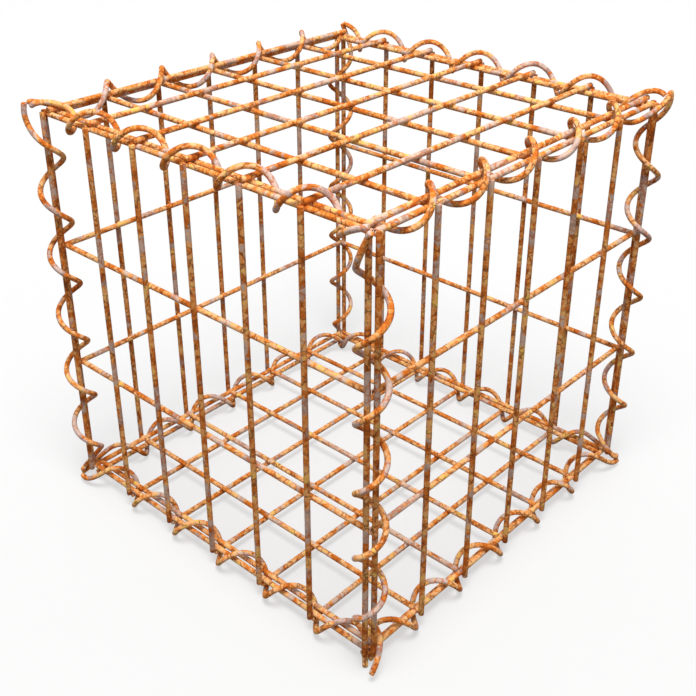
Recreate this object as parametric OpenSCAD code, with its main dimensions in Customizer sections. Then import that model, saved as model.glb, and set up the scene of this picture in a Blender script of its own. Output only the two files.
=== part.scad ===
// Gabion basket: six welded mesh panels laced shut along twelve edges by spiral wires.
// Millimetres, +Z up, origin on the ground under the middle of the basket.

/* [Basket] */
// Mesh spacing, centre to centre
pitch = 50; // [49:1:54]
// Number of mesh squares along one edge
cells = 6; // [6:2:6]
// Thickness of every wire
wire_d = 4; // [3.6:0.1:4]

/* [Panels] */
// How far the lid's edge wires along the sides lie inside the wall line
lid_side_inset = 4; // [3.8:0.1:6]
// How far the lid's edge wires along front and back lie inside the wall line
lid_front_inset = 6.6; // [6:0.1:6.7]
// How far the base's edge wires along front and back lie inside the wall line
base_front_inset = 6; // [5.8:0.1:7]
// Air left where the wires of two panels face each other
fit_gap = 0.2; // [0.1:0.05:0.5]

/* [Spirals] */
// Radius of the spirals' centre line
spiral_r = 9.6; // [9.5:0.1:9.8]
// Rings of points along one bent-over end of a spiral
end_rings = 7; // [5:1:9]

/* [View] */
// Which piece is drawn

/* [Hidden] */
wire_r = wire_d / 2;
half = pitch * cells / 2;
wall_out = half + wire_d;
spiral_in = 2;
floor_z = spiral_r + spiral_in + wire_r;
top_z = 2 * half;
axis_flat = half - spiral_in;
axis_up = half + spiral_in;
wire_fn = 24;
spiral_sides = 8;
ring_step = pitch / 10;

// Corners of the mesh box, where the ends of the spirals are bent over by hand
front_left_top = [-half, -half, top_z];
front_right_top = [half, -half, top_z];
front_left_base = [-half, -half, 0];
front_right_base = [half, -half, 0];
back_left_base = [-half, half, 0];

// Each end: squares between the corner and the bend, how stiffly the wire leaves its turn,
// the point that it bends towards and its tip
top_front_low = [0.28, 7.5, front_left_top + [3, -6.5, 13.5], front_left_top + [-6, -8.5, 6]];
top_front_high = [0.44, 9.5, front_right_top + [-8.5, -16, 4.5], front_right_top + [5.5, -10, 8]];
top_left_low = [0.375, 11, front_left_top + [-14.5, 6.5, 4.5], front_left_top + [-9.5, -8, 8.25]];
top_left_high = [0.27];
corner_left_low = [0.375, 5.5, front_left_base + [-16, 3.5, -6.5], front_left_base + [-8.5, -8, -5]];
corner_left_high = [0.32, 6, front_left_top + [-11, -14.5, -1], front_left_top + [-9, -12, 5]];
corner_front_low = [0.32, 9, front_right_base + [12, -1, 6.5], front_right_base + [10.5, -9.5, -7]];
corner_front_high = [0.375, 15, front_right_top + [1, -11.5, -7], front_right_top + [9, -12.5, 7]];
base_front_low = [0.44, 6.5, front_left_base + [6.5, -13.5, -10], front_left_base + [-7, -9.5, -8.5]];
base_front_high = [0.375, 5.5, front_right_base + [-14, 12.5, -14.5], front_right_base + [-0.5, 3.5, -11]];
base_left_low = [0.5, 12, front_left_base + [-12, 8, -9], front_left_base + [-10.5, -7, -9]];
base_left_high = [0.375, 10.5, back_left_base + [7, -4.5, -9.5], back_left_base + [-0.5, 4, -11.5]];
rust = [0.72, 0.42, 0.24];
rust_dark = [0.58, 0.36, 0.24];
rust_light = [0.84, 0.55, 0.33];

// Straight wire along X, Y or Z, centred on the given point
module wire_x(y, z, reach) {
  translate([-reach, y, z])
    rotate([0, 90, 0])
      cylinder(h = 2 * reach, d = wire_d, $fn = wire_fn);
}

module wire_y(x, z, reach) {
  translate([x, -reach, z])
    rotate([-90, 0, 0])
      cylinder(h = 2 * reach, d = wire_d, $fn = wire_fn);
}

module wire_z(x, y, z0, z1) {
  translate([x, y, z0])
    cylinder(h = z1 - z0, d = wire_d, $fn = wire_fn);
}

// Seven uprights of the front wall, on the outside of its crossbars
module wall_uprights() {
  for (i = [0 : cells])
    wire_z(i * pitch - half, -wall_out, -wire_r, top_z + wire_r);
}

// Four crossbars of the front wall, bevelled where the next wall's crossbars meet them
module wall_crossbars() {
  for (k = [0 : cells / 2])
    difference() {
      wire_x(-half, k * 2 * pitch, half + wire_r);
      for (side = [-1, 1])
        translate([side * (half - fit_gap), -half, k * 2 * pitch])
          rotate([0, 0, -side * 45])
            translate([-wire_d * 2, 0, -wire_d])
              cube([wire_d * 4, wire_d * 2, wire_d * 2]);
    }
}

// Wires of the lid or base along Y, the outermost ones drawn in towards the middle
module long_wires(z, inset) {
  for (i = [0 : cells])
    let (x = i * pitch - half)
      wire_y(abs(x) < half ? x : x - sign(x) * inset, z, half + wire_r);
}

// Wires of the lid or base along X
module cross_wires(z, inset) {
  for (i = [0 : cells])
    let (y = i * pitch - half)
      wire_x(abs(y) < half ? y : y - sign(y) * inset, z, half - wire_r - fit_gap);
}

function unit(v) = v / norm(v);

// Point of a coil along X, and the direction in which it runs there
function coil(s, start, hand) =
  let (a = start + hand * 360 * s / pitch)
    [s, spiral_r * cos(a), spiral_r * sin(a)];

function coil_run(s, start, hand) =
  let (a = start + hand * 360 * s / pitch, w = hand * 2 * PI * spiral_r / pitch)
    unit([1, -w * sin(a), w * cos(a)]);

// The same point or direction for an edge along X, Y or Z
function turned(p, kind) =
  kind == "x" ? p :
  kind == "y" ? [p[1], p[0], p[2]] :
  [p[1], p[2], p[0]];

// Smooth bend that leaves p in direction t and comes in to the tip from q
function bend(p, t, k, q, tip) =
  [for (i = [1 : end_rings])
    let (u = i / end_rings, w = 1 - u)
      w * w * w * p + 3 * w * w * u * (p + k * t) + 3 * w * u * u * q + u * u * u * tip];

function reversed(p) = [for (i = [len(p) - 1 : -1 : 0]) p[i]];

// Whole path of one lacing spiral: bent end, even turns, bent end
function lacing_path(kind, at, start, hand, low, high) =
  let (
    s0 = -half + low[0] * pitch,
    s1 = half - high[0] * pitch,
    n = round((s1 - s0) / ring_step),
    even = [for (i = [0 : n]) at + turned(coil(s0 + i * (s1 - s0) / n, start, hand), kind)],
    t0 = -turned(coil_run(s0, start, hand), kind),
    t1 = turned(coil_run(s1, start, hand), kind)
  )
    concat(
      len(low) > 1 ? reversed(bend(even[0], t0, low[1], low[2], low[3])) : [],
      even,
      len(high) > 1 ? bend(even[n], t1, high[1], high[2], high[3]) : []
    );

// Directions of travel along a path of points
function travel(p) =
  let (n = len(p) - 1)
    [for (i = [0 : n]) unit(p[min(i + 1, n)] - p[max(i - 1, 0)])];

// Cross directions carried along a path without twist
function carry(t, i, v) =
  let (w = unit(v - (v * t[i]) * t[i]))
    i == len(t) - 1 ? [w] : concat([w], carry(t, i + 1, w));

function ring(c, t, v, r) =
  let (w = cross(t, v))
    [for (a = [0 : spiral_sides - 1])
      c + r * (cos(a * 360 / spiral_sides) * v + sin(a * 360 / spiral_sides) * w)];

// Round wire swept along a path, with rounded ends
module bent_wire(p) {
  t = travel(p);
  last = len(p) - 1;
  v = carry(t, 0, [0.12, 0.35, 0.93]);
  c = concat(
    [p[0] - t[0] * wire_r, p[0] - t[0] * wire_r * 0.7],
    p,
    [p[last] + t[last] * wire_r * 0.7, p[last] + t[last] * wire_r]
  );
  tt = concat([t[0], t[0]], t, [t[last], t[last]]);
  vv = concat([v[0], v[0]], v, [v[last], v[last]]);
  n = len(c) - 1;
  rr = [for (i = [0 : n]) i == 0 || i == n ? wire_r * 0.3 : i == 1 || i == n - 1 ? wire_r * 0.75 : wire_r];
  pts = [for (i = [0 : n]) each ring(c[i], tt[i], vv[i], rr[i])];
  m = spiral_sides;
  polyhedron(
    points = pts,
    faces = concat(
      [[for (a = [0 : m - 1]) a]],
      [[for (a = [0 : m - 1]) n * m + m - 1 - a]],
      [for (i = [0 : n - 1], a = [0 : m - 1])
        each [
          [i * m + a, (i + 1) * m + a, i * m + (a + 1) % m],
          [i * m + (a + 1) % m, (i + 1) * m + a, (i + 1) * m + (a + 1) % m]
        ]]
    )
  );
}

// One lacing spiral along an edge
module lacing(kind, at, start, hand, low, high) {
  color(rust_light)
    bent_wire(lacing_path(kind, at, start, hand, low, high));
}

// The six different spirals; the other six are the same, turned half round
module top_front_spiral() {
  lacing("x", [0, -axis_flat, top_z + spiral_in], 90, -1, top_front_low, top_front_high);
}

module top_left_spiral() {
  lacing("y", [-axis_flat, 0, top_z + spiral_in], 90, 1, top_left_low, top_left_high);
}

module base_front_spiral() {
  lacing("x", [0, -axis_flat, -spiral_in], -90, -1, base_front_low, base_front_high);
}

module base_left_spiral() {
  lacing("y", [-axis_flat, 0, -spiral_in], -90, -1, base_left_low, base_left_high);
}

module front_left_corner_spiral() {
  lacing("z", [-axis_up, -axis_up, half], 180, -1, corner_left_low, corner_left_high);
}

module front_right_corner_spiral() {
  lacing("z", [axis_up, -axis_up, half], 0, 1, corner_front_low, corner_front_high);
}

module top_back_spiral() {
  rotate([0, 0, 180])
    top_front_spiral();
}

module top_right_spiral() {
  rotate([0, 0, 180])
    top_left_spiral();
}

module base_back_spiral() {
  rotate([0, 0, 180])
    base_front_spiral();
}

module base_right_spiral() {
  rotate([0, 0, 180])
    base_left_spiral();
}

module back_right_corner_spiral() {
  rotate([0, 0, 180])
    front_left_corner_spiral();
}

module back_left_corner_spiral() {
  rotate([0, 0, 180])
    front_right_corner_spiral();
}

module front_wall_uprights() {
  color(rust_dark)
    wall_uprights();
}

module front_wall_crossbars() {
  color(rust)
    wall_crossbars();
}

module back_wall_uprights() {
  color(rust_dark)
    rotate([0, 0, 180])
      wall_uprights();
}

module back_wall_crossbars() {
  color(rust)
    rotate([0, 0, 180])
      wall_crossbars();
}

module left_wall_uprights() {
  color(rust_dark)
    rotate([0, 0, -90])
      wall_uprights();
}

module left_wall_crossbars() {
  color(rust)
    rotate([0, 0, -90])
      wall_crossbars();
}

module right_wall_uprights() {
  color(rust_dark)
    rotate([0, 0, 90])
      wall_uprights();
}

module right_wall_crossbars() {
  color(rust)
    rotate([0, 0, 90])
      wall_crossbars();
}

module lid_long_wires() {
  color(rust)
    long_wires(top_z + wire_d, lid_side_inset);
}

module lid_cross_wires() {
  color(rust_light)
    cross_wires(top_z, lid_front_inset);
}

module base_long_wires() {
  color(rust)
    long_wires(-wire_d, lid_side_inset);
}

module base_cross_wires() {
  color(rust_light)
    cross_wires(0, base_front_inset);
}

// The whole basket stands on the lowest turns of the four base spirals
translate([0, 0, floor_z]) {
  front_wall_uprights();
  front_wall_crossbars();
  back_wall_uprights();
  back_wall_crossbars();
  left_wall_uprights();
  left_wall_crossbars();
  right_wall_uprights();
  right_wall_crossbars();
  lid_long_wires();
  lid_cross_wires();
  base_long_wires();
  base_cross_wires();
  top_front_spiral();
  top_back_spiral();
  top_left_spiral();
  top_right_spiral();
  base_front_spiral();
  base_back_spiral();
  base_left_spiral();
  base_right_spiral();
  front_right_corner_spiral();
  front_left_corner_spiral();
  back_right_corner_spiral();
  back_left_corner_spiral();
}
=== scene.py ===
"""Gabion basket: rusty welded mesh panels laced shut by spiral wires, on a pale studio floor."""
import math

import bpy
import numpy as np
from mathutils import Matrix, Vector


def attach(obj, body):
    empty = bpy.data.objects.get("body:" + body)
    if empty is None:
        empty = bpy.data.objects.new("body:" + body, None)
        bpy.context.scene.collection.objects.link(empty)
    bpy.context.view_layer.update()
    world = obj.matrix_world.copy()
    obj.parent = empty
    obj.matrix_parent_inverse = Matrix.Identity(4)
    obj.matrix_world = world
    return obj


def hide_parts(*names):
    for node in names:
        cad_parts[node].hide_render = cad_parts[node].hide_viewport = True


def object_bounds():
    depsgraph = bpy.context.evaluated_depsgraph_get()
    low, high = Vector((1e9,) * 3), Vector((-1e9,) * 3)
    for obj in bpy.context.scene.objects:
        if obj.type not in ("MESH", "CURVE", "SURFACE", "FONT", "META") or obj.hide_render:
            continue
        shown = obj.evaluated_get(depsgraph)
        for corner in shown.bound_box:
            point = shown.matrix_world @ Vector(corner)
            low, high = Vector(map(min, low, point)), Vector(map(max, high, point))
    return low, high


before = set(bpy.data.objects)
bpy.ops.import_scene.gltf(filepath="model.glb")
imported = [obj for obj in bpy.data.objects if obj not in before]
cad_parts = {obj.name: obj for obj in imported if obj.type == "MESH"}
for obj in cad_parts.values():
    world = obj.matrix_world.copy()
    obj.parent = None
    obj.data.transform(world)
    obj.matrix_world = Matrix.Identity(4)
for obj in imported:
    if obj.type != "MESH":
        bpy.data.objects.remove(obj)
cad_low, cad_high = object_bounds()

# Sizes in metres, the same as in the CAD source; a wall has a crossbar at every second pitch
PITCH = 0.050
CELLS = 6
BAR_EVERY = 2
HALF = PITCH * CELLS / 2
TOP = 2 * HALF
WIRE_R = 0.002
WIRE_D = 2 * WIRE_R
LID_SIDE_INSET = 0.004
LID_FRONT_INSET = 0.0066
BASE_FRONT_INSET = 0.006
FIT_GAP = 0.0002
SPIRAL_R = 0.0096

# How far a spiral's axis lies from the edge that it laces: a level one above the lid or below the base and
# inside the wall, an upright one outside both walls
AXIS_SHIFT = 0.002
AXIS_FLAT = HALF - AXIS_SHIFT
AXIS_UP = HALF + AXIS_SHIFT

# Where the wires of a panel lie, across its width
GRID = [i * PITCH - HALF for i in range(CELLS + 1)]

# Height of the walls' lowest crossbars above the floor
FLOOR_LIFT = SPIRAL_R + AXIS_SHIFT + WIRE_R

# How finely the wires are drawn
SIDES = 16
WIRE_STEP = 0.006
SPIRAL_STEP = 0.0013
VISUAL_SPIRAL_STEP = 1.4 * SPIRAL_STEP
BEND_STEPS = 26

# Directions that no wire and no bead has, from which their rings are turned
WIRE_SIDE = (0.12, 0.35, 0.93)
BEAD_SIDE = (0.3, 0.5, 0.8)

# Millimetres in a metre, for the spirals' ends
MM = 1000

# Rounded edge of a straight wire's cut end: its size, and the shares of it along and into the wire
CHAMFER = 0.0003
CHAMFER_PROFILE = ((0.0, 1.0), (0.4, 0.35), (1.0, 0.0))

# A crossbar's mitre fades out over this length
MITRE_RUN = 3 * WIRE_R

# Spirals are a little thinner than the wire, as the CAD's flat-sided ones are
SPIRAL_WIRE_R = 0.99 * WIRE_R

# Rounded edge of a spiral's cut end: shares of one step along the wire and of its radius
SPIRAL_END_PROFILE = ((0.0, 0.62), (0.05, 0.76), (0.14, 0.88), (0.3, 0.97))

# Weld beads
BEAD_WIDTH = 0.0019
BEAD_THICK = 0.0008
BEAD_RINGS = 5
BEAD_AROUND = 12

# The photograph's camera, found by matching the mesh squares
CAMERA_AT = (0.47798, -0.53094, 0.52559 + FLOOR_LIFT)
CAMERA_YAW = math.radians(42.22)
CAMERA_PITCH = math.radians(27.757)
FOCAL_PX = 1049.48
CENTRE_PX = (348.81, 298.42)
IMAGE_PX = 696
SENSOR_MM = 36.0
CLIP_NEAR = 0.01
CLIP_FAR = 30

# Light: the pale world's strength, and the lamp's place, aim, size and share on the floor below it
SKY = 0.52
LAMP_AT = (0.42, -0.47, 2.0)
LAMP_AIM = (0, 0, 0.16)
LAMP_SIZE = 0.9
LAMP_LEVEL = 1.05

# How bright the floor and the space behind it show: just under white
BACKDROP = 0.985

# Floor: what it reflects where it shows and as a source of light, its half width, and the distances from
# the point below the lamp at which its glow is set
FLOOR_SHOWN = 0.3
FLOOR_DIM = 0.14
FLOOR_HALF = 8.0
GLOW_STOPS = (0, 0.5, 1, 1.5, 2, 3, 4)

# Rust flakes: cells in a metre, waves of their outlines in a metre and how far these wander, in metres
FLAKE_SCALE = 200.0
OUTLINE_SCALE = 130.0
OUTLINE_WANDER = (0.006, 0.006, 0.006)

# Rust noises: waves in a metre, detail, roughness and, for one, its warp
BROAD = (80.0, 2.0, 0.5)
FINE = (380.0, 3.0, 0.6, 0.3)
CRACK_PATCHES = (150.0, 1.0, 0.5)
GREY_BANDS = (56.0, 2.0, 0.45)
SPECKLE = (1500.0, 2.0, 0.6)

# How far each wire material's pattern is moved along X, Y and Z, in seeds
SEED_WAY = (1.0, 0.7, -1.0)

# Tone of the rust: what noise and flake add to it, and where the colours of rust and grey scale lie on it
TONE_OF_NOISE = 0.36
TONE_OF_FLAKE = 0.11
TONE_STOPS = (0.33, 0.385, 0.43, 0.47, 0.51)
GREY_STOPS = (0.35, 0.43, 0.5, 0.54)

# Ramps from noise or the distance to a flake's edge to how much shows
CRACK_PATCH_RAMP = [(0.44, 0.1), (0.52, 1.0)]
CRACK_LINE_RAMP = [(0.0, 1.0), (0.05, 0.8), (0.11, 0.0)]
SPECKLE_RAMP = [(0.3, 0.6), (0.55, 1.0)]

# How much cracks, grey scale and speckle cover, and how the grey bands follow the flakes
CRACK_COVER = 0.8
GREY_OF_FLAKE = 0.045
GREY_EDGE = 0.02
GREY_COVER = 0.92
SPECKLE_COVER = 0.3

# Gloss, and relief in metres with its parts
ROUGH_RUST = 0.88
ROUGH_GREY = 0.6
SPECULAR = 0.25
RELIEF = 0.0004
RELIEF_STRENGTH = 0.6
RELIEF_OF_FINE = 0.6
RELIEF_OF_SPECKLE = 0.3
RELIEF_OF_CRACK = -0.25


class Tree:
    """A material's or world's shader tree, with short ways to add to it."""

    def __init__(self, owner):
        owner.use_nodes = True
        self.nodes = owner.node_tree.nodes
        self.links = owner.node_tree.links

    def put(self, value, socket):
        """Links an output to a socket, or sets the socket to a plain value."""
        if isinstance(value, bpy.types.NodeSocket):
            self.links.new(value, socket)
        else:
            socket.default_value = value

    def node(self, kind, settings=(), **inputs):
        """A new node with its settings, and its inputs by name, with _ for a blank."""
        n = self.nodes.new(kind)
        for key, value in dict(settings).items():
            setattr(n, key, value)
        for name, value in inputs.items():
            self.put(value, n.inputs[name.replace("_", " ")])
        return n

    def join(self, kind, *inputs, **settings):
        """Output of a new node whose inputs are given in order."""
        n = self.node(kind, settings)
        for value, socket in zip(inputs, n.inputs):
            self.put(value, socket)
        return n.outputs[0]

    def math(self, operation, a, b):
        return self.join("ShaderNodeMath", a, b, operation=operation)

    def weighed(self, *parts):
        """Sum of values, each times its weight."""
        total = None
        for value, weight in parts:
            term = self.math("MULTIPLY", value, weight)
            total = term if total is None else self.math("ADD", total, term)
        return total

    def ramp(self, factor, stops):
        """Colour or grey ramp from (position, colour) stops."""
        r = self.node("ShaderNodeValToRGB", Fac=factor)
        elements = r.color_ramp.elements
        while len(elements) < len(stops):
            elements.new(0.5)
        for element, (at, colour) in zip(elements, stops):
            element.position = at
            element.color = (*colour, 1) if isinstance(colour, tuple) else grey(colour)
        return r.outputs["Color"]

    def mix(self, factor, a, b, blend="MIX"):
        """Mixes two colours."""
        m = self.node("ShaderNodeMix", {"data_type": "RGBA", "blend_type": blend})
        self.put(factor, m.inputs[0])
        self.put(a, m.inputs[6])
        self.put((*b, 1) if isinstance(b, tuple) else b, m.inputs[7])
        return m.outputs[2]

    def noise(self, vector, scale, detail, rough, warp=0.0):
        return self.node("ShaderNodeTexNoise", Vector=vector, Scale=scale, Detail=detail,
                         Roughness=rough, Distortion=warp).outputs["Fac"]

    def shown_rays(self):
        """1 for rays of the camera, in reflections and through glass, 0 for rays that light surfaces."""
        path = self.node("ShaderNodeLightPath").outputs
        indirect = self.math("MAXIMUM", path["Is Glossy Ray"], path["Is Transmission Ray"])
        return self.math("MAXIMUM", path["Is Camera Ray"], indirect)


def make_camera():
    """The photograph's point of view."""
    data = bpy.data.cameras.new("camera")
    data.sensor_width = SENSOR_MM
    data.lens = FOCAL_PX / IMAGE_PX * SENSOR_MM
    data.shift_x = (IMAGE_PX / 2 - CENTRE_PX[0]) / IMAGE_PX
    data.shift_y = (CENTRE_PX[1] - IMAGE_PX / 2) / IMAGE_PX
    data.clip_start = CLIP_NEAR
    data.clip_end = CLIP_FAR
    cam = bpy.data.objects.new("camera", data)
    bpy.context.scene.collection.objects.link(cam)
    back = Vector((math.sin(CAMERA_YAW) * math.cos(CAMERA_PITCH),
                   -math.cos(CAMERA_YAW) * math.cos(CAMERA_PITCH),
                   math.sin(CAMERA_PITCH)))
    cam.location = CAMERA_AT
    cam.rotation_mode = "QUATERNION"
    cam.rotation_quaternion = (-back).to_track_quat("-Z", "Y")
    bpy.context.scene.camera = cam


def rgb(code):
    """Linear colour of a screen colour written as six hex digits."""
    out = []
    for i in (0, 2, 4):
        c = int(code[i:i + 2], 16) / 255
        out.append(c / 12.92 if c <= 0.04045 else ((c + 0.055) / 1.055) ** 2.4)
    return tuple(out)


def grey(level):
    """A grey in four numbers, as shader sockets take it; 1 is white."""
    return (level, level, level, 1)


def rust_material(name, seed, tones, greys, vein, grey_from):
    """Rusty wire: flakes of orange, pale and yellow rust, with dark cracks and bands of grey scale."""
    tones, greys, vein = [rgb(c) for c in tones.split()], [rgb(c) for c in greys.split()], rgb(vein)
    mat = bpy.data.materials.new(name)
    t = Tree(mat)
    bsdf = t.nodes["Principled BSDF"]
    coord = t.node("ShaderNodeTexCoord").outputs["Object"]
    at = t.node("ShaderNodeMapping", Vector=coord, Location=[seed * w for w in SEED_WAY]).outputs["Vector"]

    # Flakes: cells a few millimetres wide with wavy outlines, each with a tone of its own
    wave = t.node("ShaderNodeTexNoise", Vector=at, Scale=OUTLINE_SCALE, Detail=2.0).outputs["Color"]
    wavy = t.join("ShaderNodeVectorMath", wave, OUTLINE_WANDER, at, operation="MULTIPLY_ADD")
    cell = t.node("ShaderNodeTexVoronoi", Vector=wavy, Scale=FLAKE_SCALE).outputs["Color"]
    own = t.node("ShaderNodeSeparateColor", Color=cell).outputs["Red"]
    edge = t.node("ShaderNodeTexVoronoi", {"feature": "DISTANCE_TO_EDGE"}, Vector=wavy, Scale=FLAKE_SCALE)

    # Rust from deep orange over orange to pale and yellow
    broad = t.noise(at, *BROAD)
    fine = t.noise(at, *FINE)
    tone = t.weighed((broad, TONE_OF_NOISE), (fine, TONE_OF_NOISE), (own, TONE_OF_FLAKE))
    rust = t.ramp(tone, list(zip(TONE_STOPS, tones)))

    # Dark cracks along parts of the flakes' edges
    patch = t.ramp(t.noise(at, *CRACK_PATCHES), CRACK_PATCH_RAMP)
    line = t.ramp(edge.outputs["Distance"], CRACK_LINE_RAMP)
    crack = t.math("MULTIPLY", line, patch)
    crack_cover = t.math("MULTIPLY", crack, CRACK_COVER)
    cracked = t.mix(crack_cover, rust, vein)

    # Grey scale that the rust hasn't taken yet, in bands longer than the wire is thick
    band = t.weighed((t.noise(wavy, *GREY_BANDS), 1.0), (own, GREY_OF_FLAKE))
    grey_mask = t.ramp(band, [(grey_from, 0.0), (grey_from + GREY_EDGE, 1.0)])
    grey_tone = t.ramp(tone, list(zip(GREY_STOPS, (greys[0], greys[1], greys[1], tones[3]))))
    scale = t.mix(crack_cover, grey_tone, tones[0])
    colour = t.mix(t.math("MULTIPLY", grey_mask, GREY_COVER), cracked, scale)

    # Fine speckle
    speckle = t.noise(at, *SPECKLE)
    colour = t.mix(SPECKLE_COVER, colour, t.ramp(speckle, SPECKLE_RAMP), "MULTIPLY")
    t.put(colour, bsdf.inputs["Base Color"])
    t.put(t.ramp(grey_mask, [(0.0, ROUGH_RUST), (1.0, ROUGH_GREY)]), bsdf.inputs["Roughness"])
    t.put(SPECULAR, bsdf.inputs["Specular IOR Level"])

    # Raised flakes, sunk cracks and a fine grain
    height = t.weighed((fine, RELIEF_OF_FINE), (speckle, RELIEF_OF_SPECKLE), (crack, RELIEF_OF_CRACK))
    bump = t.node("ShaderNodeBump", Height=height, Strength=RELIEF_STRENGTH, Distance=RELIEF)
    t.put(bump.outputs["Normal"], bsdf.inputs["Normal"])
    return mat


def floor_material():
    """White to the eye with the basket's soft shadow, dim as a source of light."""
    mat = bpy.data.materials.new("floor")
    t = Tree(mat)
    t.nodes.clear()

    # The glow makes up for what the lamp's light loses with the distance from the point below it
    place = t.node("ShaderNodeTexCoord").outputs["Object"]
    away = t.node("ShaderNodeMapping", Vector=place, Location=(-LAMP_AT[0], -LAMP_AT[1], 0))
    far = t.node("ShaderNodeVectorMath", {"operation": "LENGTH"}, Vector=away.outputs["Vector"])
    stops = []
    for r in GLOW_STOPS:
        lit = SKY + LAMP_LEVEL / (1 + (r / LAMP_AT[2]) ** 2) ** 2
        stops.append((r / GLOW_STOPS[-1], BACKDROP - FLOOR_SHOWN * lit))
    fill = t.ramp(t.math("MULTIPLY", far.outputs["Value"], 1 / GLOW_STOPS[-1]), stops)

    reflected = t.node("ShaderNodeBsdfDiffuse", Color=grey(FLOOR_SHOWN)).outputs[0]
    glow = t.node("ShaderNodeEmission", Color=fill, Strength=1.0).outputs[0]
    shown = t.join("ShaderNodeAddShader", reflected, glow)
    dim = t.node("ShaderNodeBsdfDiffuse", Color=grey(FLOOR_DIM)).outputs[0]
    surface = t.join("ShaderNodeMixShader", t.shown_rays(), dim, shown)
    t.node("ShaderNodeOutputMaterial", Surface=surface)
    return mat


def make_floor():
    """A large flat floor under the basket."""
    mesh = bpy.data.meshes.new("floor")
    s = FLOOR_HALF
    mesh.from_pydata([(-s, -s, 0), (s, -s, 0), (s, s, 0), (-s, s, 0)], [], [(0, 1, 2, 3)])
    mesh.materials.append(floor_material())
    floor = bpy.data.objects.new("floor", mesh)
    bpy.context.scene.collection.objects.link(floor)


def make_world():
    """Pale light from all round, in front of a white space."""
    world = bpy.data.worlds.new("studio")
    bpy.context.scene.world = world
    t = Tree(world)
    t.nodes.clear()
    lighting = t.node("ShaderNodeBackground", Color=grey(1), Strength=SKY).outputs[0]
    shown = t.node("ShaderNodeBackground", Color=grey(1), Strength=BACKDROP).outputs[0]
    surface = t.join("ShaderNodeMixShader", t.shown_rays(), lighting, shown)
    t.node("ShaderNodeOutputWorld", Surface=surface)


def make_lamp():
    """One large lamp high above, on the camera's side."""
    lamp = bpy.data.lights.new("overhead", "AREA")
    lamp.shape = "DISK"
    lamp.size = LAMP_SIZE
    lamp.energy = LAMP_LEVEL * math.pi ** 2 * LAMP_AT[2] ** 2
    obj = bpy.data.objects.new("overhead", lamp)
    obj.location = LAMP_AT
    obj.rotation_mode = "QUATERNION"
    obj.rotation_quaternion = (Vector(LAMP_AT) - Vector(LAMP_AIM)).to_track_quat("Z", "Y")
    bpy.context.scene.collection.objects.link(obj)


def unit(v):
    return v / np.linalg.norm(v)


def quarter_turns(points, quarters):
    """Points turned by quarters of a turn about the upright axis."""
    c, s = [(1, 0), (0, 1), (-1, 0), (0, -1)][quarters % 4]
    p = np.asarray(points, float)
    return np.stack([p[:, 0] * c - p[:, 1] * s, p[:, 0] * s + p[:, 1] * c, p[:, 2]], axis=1)


def lifted(z):
    """Height above the floor of a height above the walls' lowest crossbars."""
    return z + FLOOR_LIFT


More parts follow.
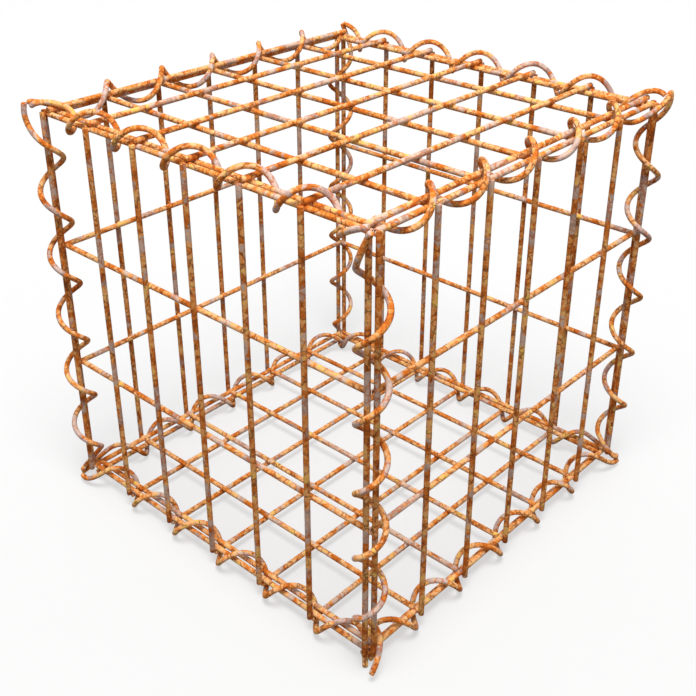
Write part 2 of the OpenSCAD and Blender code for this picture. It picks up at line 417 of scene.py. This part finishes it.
class Mesh:
    """Collects the swept wires and weld beads of one piece."""

    def __init__(self):
        self.verts = []
        self.faces = []

    def add(self, verts, faces):
        base = len(self.verts)
        self.verts += [tuple(v) for v in verts]
        self.faces += [tuple(base + i for i in f) for f in faces]

    def sweep(self, path, radii):
        """A round tube along path, closed at both ends."""
        path = np.asarray(path, float)
        n = len(path)
        along = np.gradient(path, axis=0)
        along /= np.linalg.norm(along, axis=1)[:, None]
        side = np.array(WIRE_SIDE)
        angles = np.arange(SIDES) * 2 * math.pi / SIDES
        rings = []
        for i in range(n):
            side = unit(side - np.dot(side, along[i]) * along[i])
            other = np.cross(along[i], side)
            ring = (np.cos(angles)[:, None] * side + np.sin(angles)[:, None] * other) * radii[i]
            rings.append(path[i] + ring)
        faces = [tuple(range(SIDES - 1, -1, -1)), tuple(range((n - 1) * SIDES, n * SIDES))]
        for i in range(n - 1):
            for a in range(SIDES):
                b = (a + 1) % SIDES
                faces.append((i * SIDES + a, i * SIDES + b, (i + 1) * SIDES + b, (i + 1) * SIDES + a))
        self.add(np.concatenate(rings), faces)

    def straight(self, a, b):
        """A straight wire from a to b with rounded edges on its cut ends."""
        a, b = np.asarray(a, float), np.asarray(b, float)
        length = np.linalg.norm(b - a)
        inner = max(1, round((length - 2 * CHAMFER) / WIRE_STEP))
        rings = [(CHAMFER * on, WIRE_R - CHAMFER * cut) for on, cut in CHAMFER_PROFILE]
        rings += [(CHAMFER + (length - 2 * CHAMFER) * i / inner, WIRE_R) for i in range(1, inner + 1)]
        rings += [(length - CHAMFER * on, WIRE_R - CHAMFER * cut) for on, cut in CHAMFER_PROFILE[-2::-1]]
        self.sweep([a + unit(b - a) * s for s, _ in rings], [r for _, r in rings])

    def bead(self, centre, normal):
        """A flat weld bead squeezed out where two wires meet."""
        centre = np.asarray(centre)
        normal = unit(np.asarray(normal, float))
        one = unit(np.cross(normal, BEAD_SIDE))
        two = np.cross(normal, one)
        verts = [centre + normal * BEAD_THICK]
        for i in range(1, BEAD_RINGS):
            slope = math.pi / 2 - math.pi * i / BEAD_RINGS
            for k in range(BEAD_AROUND):
                a = 2 * math.pi * k / BEAD_AROUND
                out = (one * math.cos(a) + two * math.sin(a)) * BEAD_WIDTH * math.cos(slope)
                verts.append(centre + normal * BEAD_THICK * math.sin(slope) + out)
        verts.append(centre - normal * BEAD_THICK)
        last, low = len(verts) - 1, 1 + (BEAD_RINGS - 2) * BEAD_AROUND
        faces = []
        for k in range(BEAD_AROUND):
            after = (k + 1) % BEAD_AROUND
            faces += [(0, 1 + k, 1 + after), (low + k, last, low + after)]
            for i in range(BEAD_RINGS - 2):
                a, b = 1 + i * BEAD_AROUND + k, 1 + i * BEAD_AROUND + after
                faces.append((a, a + BEAD_AROUND, b + BEAD_AROUND, b))
        self.add(verts, faces)

    def turned(self, quarters):
        """The same mesh after quarters of a turn about the upright axis."""
        self.verts = [tuple(v) for v in quarter_turns(self.verts, quarters)]
        return self

    def place(self, name, material, slot, node):
        """Makes the piece, kept inside the CAD's box, and hides the CAD node it stands for."""
        mesh = bpy.data.meshes.new(name)
        mesh.from_pydata(np.clip(self.verts, cad_low, cad_high).tolist(), [], self.faces)
        mesh.update()
        mesh.validate()
        mesh.shade_smooth()
        mesh.materials.append(material)
        obj = bpy.data.objects.new(name, mesh)
        bpy.context.scene.collection.objects.link(obj)
        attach(obj, "root")
        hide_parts(node)


def wall_meshes(quarters):
    """Uprights and crossbars of one wall: the front wall, turned by quarters of a turn."""
    uprights, bars = Mesh(), Mesh()
    y = -HALF - WIRE_D
    for x in GRID:
        uprights.straight((x, y, lifted(-WIRE_R)), (x, y, lifted(TOP + WIRE_R)))
    for k in range(CELLS // BAR_EVERY + 1):
        z = lifted(k * BAR_EVERY * PITCH)
        mitred_bar(bars, z)
        for x in GRID:
            bars.bead((x, -HALF - WIRE_R, z), (0, 1, 0))
    return uprights.turned(quarters), bars.turned(quarters)


def mitred_bar(mesh, z):
    """A crossbar of the front wall with its ends cut off at 45 degrees, clear of the neighbours' bars."""
    reach = HALF - FIT_GAP
    first = len(mesh.verts)
    mesh.straight((-reach, -HALF, z), (reach, -HALF, z))
    for j in range(first, len(mesh.verts)):
        x, y, h = mesh.verts[j]
        share = max(0.0, 1 - (reach - abs(x)) / MITRE_RUN)
        mesh.verts[j] = (x - math.copysign(share * (y + HALF), x), y, h)


def inset(v, amount):
    """Moves a panel's outermost wire inwards and leaves the others."""
    return v if abs(v) < HALF - FIT_GAP else v - math.copysign(amount, v)


def panel_meshes(z_long, z_cross, side_inset, front_inset):
    """Wires along Y and along X of the lid or the base."""
    longs, crosses = Mesh(), Mesh()
    reach = HALF - WIRE_R - FIT_GAP
    for g in GRID:
        x, y = inset(g, side_inset), inset(g, front_inset)
        longs.straight((x, -HALF - WIRE_R, lifted(z_long)), (x, HALF + WIRE_R, lifted(z_long)))
        crosses.straight((-reach, y, lifted(z_cross)), (reach, y, lifted(z_cross)))
    for gx in GRID:
        for gy in GRID:
            at = (inset(gx, side_inset), inset(gy, front_inset), lifted((z_long + z_cross) / 2))
            crosses.bead(at, (0, 0, 1))
    return longs, crosses


def turn_axes(p, run):
    """A point or direction of a coil along X, turned to run along X, Y or Z."""
    x, y, z = p
    return np.array({"x": (x, y, z), "y": (y, x, z), "z": (y, z, x)}[run])


def coil_angle(s, start, hand):
    """Angle of a coil at s from its middle; start is its angle there in degrees, and hand is 1 or -1."""
    return math.radians(start) + hand * 2 * math.pi * s / PITCH


def coil(s, start, hand):
    """Point of a coil along X, s from its middle."""
    a = coil_angle(s, start, hand)
    return np.array([s, SPIRAL_R * math.cos(a), SPIRAL_R * math.sin(a)])


def coil_way(s, start, hand):
    """Direction of the coil's wire at that point."""
    a = coil_angle(s, start, hand)
    w = hand * 2 * math.pi * SPIRAL_R / PITCH
    return unit(np.array([1, -w * math.sin(a), w * math.cos(a)]))


def bend(p, way, stiff, towards, tip):
    """Smooth bend from the last even turn to the wire's tip."""
    out = []
    for i in range(1, BEND_STEPS + 1):
        u = i / BEND_STEPS
        w = 1 - u
        out.append(w ** 3 * p + 3 * w * w * u * (p + stiff * way) + 3 * w * u * u * towards + u ** 3 * tip)
    return out


def corner(x, y, z, offset):
    """A point given in millimetres from a corner of the mesh box."""
    return np.array([x * HALF, y * HALF, z * TOP]) + np.array(offset) / MM


def lacing_path(run, axis, start, hand, low, high):
    """Whole path of one lacing spiral: bent end, even turns, bent end."""
    axis = np.array(axis)
    s0 = -HALF + low[0] * PITCH
    s1 = HALF - high[0] * PITCH
    n = round((s1 - s0) / SPIRAL_STEP)
    even = [axis + turn_axes(coil(s0 + i * (s1 - s0) / n, start, hand), run) for i in range(n + 1)]
    path = list(even)
    if len(low) > 1:
        way = -turn_axes(coil_way(s0, start, hand), run)
        path = bend(even[0], way, low[1] / MM, low[2], low[3])[::-1] + path
    if len(high) > 1:
        way = turn_axes(coil_way(s1, start, hand), run)
        path += bend(even[-1], way, high[1] / MM, high[2], high[3])
    path = np.array(path)
    path[:, 2] += FLOOR_LIFT
    return path


def even_steps(path, step):
    """The same path with points at even distances."""
    d = np.concatenate([[0], np.cumsum(np.linalg.norm(np.diff(path, axis=0), axis=1))])
    s = np.linspace(0, d[-1], max(2, round(d[-1] / step)))
    return np.stack([np.interp(s, d, path[:, k]) for k in range(3)], axis=1)


def spiral_mesh(path):
    """A spiral's wire with rounded edges on its cut ends."""
    path = even_steps(path, VISUAL_SPIRAL_STEP)
    first, last = path[1] - path[0], path[-2] - path[-1]
    rings = [(path[0] + first * on, SPIRAL_WIRE_R * r) for on, r in SPIRAL_END_PROFILE]
    rings += [(p, SPIRAL_WIRE_R) for p in path[1:-1]]
    rings += [(path[-1] + last * on, SPIRAL_WIRE_R * r) for on, r in SPIRAL_END_PROFILE[::-1]]
    mesh = Mesh()
    mesh.sweep([p for p, _ in rings], [r for _, r in rings])
    return mesh


# Each lacing spiral: the way it runs, the middle of its axis, its angle there, its hand, its low end and
# its high end. An end is how many pitches before the corner the even turns stop and, where the wire then
# bends, the bend's stiffness in millimetres, the point it bends towards and its tip
SPIRALS = {
    "top_front": ("x", (0, -AXIS_FLAT, TOP + AXIS_SHIFT), 90, -1,
                  (0.28, 7.5, corner(-1, -1, 1, (3, -6.5, 13.5)), corner(-1, -1, 1, (-6, -8.5, 6))),
                  (0.44, 9.5, corner(1, -1, 1, (-8.5, -16, 4.5)), corner(1, -1, 1, (5.5, -10, 8)))),
    "top_left": ("y", (-AXIS_FLAT, 0, TOP + AXIS_SHIFT), 90, 1,
                 (0.375, 11, corner(-1, -1, 1, (-14.5, 6.5, 4.5)), corner(-1, -1, 1, (-9.5, -8, 8.25))),
                 (0.27,)),
    "base_front": ("x", (0, -AXIS_FLAT, -AXIS_SHIFT), -90, -1,
                   (0.44, 6.5, corner(-1, -1, 0, (6.5, -13.5, -10)), corner(-1, -1, 0, (-7, -9.5, -8.5))),
                   (0.375, 5.5, corner(1, -1, 0, (-14, 12.5, -14.5)), corner(1, -1, 0, (-0.5, 3.5, -11)))),
    "base_left": ("y", (-AXIS_FLAT, 0, -AXIS_SHIFT), -90, -1,
                  (0.5, 12, corner(-1, -1, 0, (-12, 8, -9)), corner(-1, -1, 0, (-10.5, -7, -9))),
                  (0.375, 10.5, corner(-1, 1, 0, (7, -4.5, -9.5)), corner(-1, 1, 0, (-0.5, 4, -11.5)))),
    "front_left_corner": ("z", (-AXIS_UP, -AXIS_UP, HALF), 180, -1,
                          (0.375, 5.5, corner(-1, -1, 0, (-16, 3.5, -6.5)),
                           corner(-1, -1, 0, (-8.5, -8, -5))),
                          (0.32, 6, corner(-1, -1, 1, (-11, -14, -3)), corner(-1, -1, 1, (-8, -12, 9)))),
    "front_right_corner": ("z", (AXIS_UP, -AXIS_UP, HALF), 0, 1,
                           (0.32, 9, corner(1, -1, 0, (12, -1, 6.5)), corner(1, -1, 0, (10.5, -9.5, -7))),
                           (0.375, 15, corner(1, -1, 1, (1, -11.5, -7)), corner(1, -1, 1, (9, -12.5, 7)))),
}

# The same six, turned half round about the upright axis, lace the other edges
OPPOSITE = {"top_front": "top_back", "top_left": "top_right", "base_front": "base_back",
            "base_left": "base_right", "front_left_corner": "back_right_corner",
            "front_right_corner": "back_left_corner"}


def make_walls(mesh_rust, upright_rust_painted_shade):
    for quarters, side in enumerate(("front", "right", "back", "left")):
        uprights, bars = wall_meshes(quarters)
        uprights.place(side + "_wall_upright_wires", upright_rust_painted_shade, "upright_wire", side + "_wall_uprights")
        bars.place(side + "_wall_crossbar_wires", mesh_rust, "mesh_wire", side + "_wall_crossbars")


def make_panels(mesh_rust):
    """The lid, whose long wires lie on top, and the base, whose long wires lie below."""
    for panel, z_long, z_cross, front_inset in (("lid", TOP + WIRE_D, TOP, LID_FRONT_INSET),
                                                ("base", -WIRE_D, 0, BASE_FRONT_INSET)):
        longs, crosses = panel_meshes(z_long, z_cross, LID_SIDE_INSET, front_inset)
        longs.place(panel + "_wires_front_to_back", mesh_rust, "mesh_wire", panel + "_long_wires")
        crosses.place(panel + "_wires_side_to_side", mesh_rust, "mesh_wire", panel + "_cross_wires")


def make_lacing(spiral_rust):
    for name, recipe in SPIRALS.items():
        path = lacing_path(*recipe)
        for target, quarters in ((name, 0), (OPPOSITE[name], 2)):
            wire = spiral_mesh(quarter_turns(path, quarters))
            wire.place(target + "_lacing", spiral_rust, "spiral_wire", target + "_spiral")


bpy.context.scene.view_settings.view_transform = "Standard"
make_camera()
make_floor()
make_world()
make_lamp()

mesh_rust = rust_material("mesh wire rust", seed=3.1, tones="CC6A1C E68C3C F0AC6A F4BE8C F4C060",
                          greys="AE9080 D4B8A6", vein="8A4214", grey_from=0.59)
# Upright wires: a darker, browner copy of the mesh wire's rust, painted shade for wires that face away
# from the overhead lamp
upright_rust_painted_shade = rust_material("upright wire rust with painted shade", seed=7.7, tones="B25914 CC742C DC9650 E2A670 E4B45A",
                             greys="9A8072 BCA496", vein="6A3410", grey_from=0.582)
spiral_rust = rust_material("spiral wire rust", seed=12.9, tones="CA661A E68A3A F2AC68 F6BE8C F4C060",
                            greys="A88E84 CEB6AC", vein="803C10", grey_from=0.578)
make_walls(mesh_rust, upright_rust_painted_shade)
make_panels(mesh_rust)
make_lacing(spiral_rust)
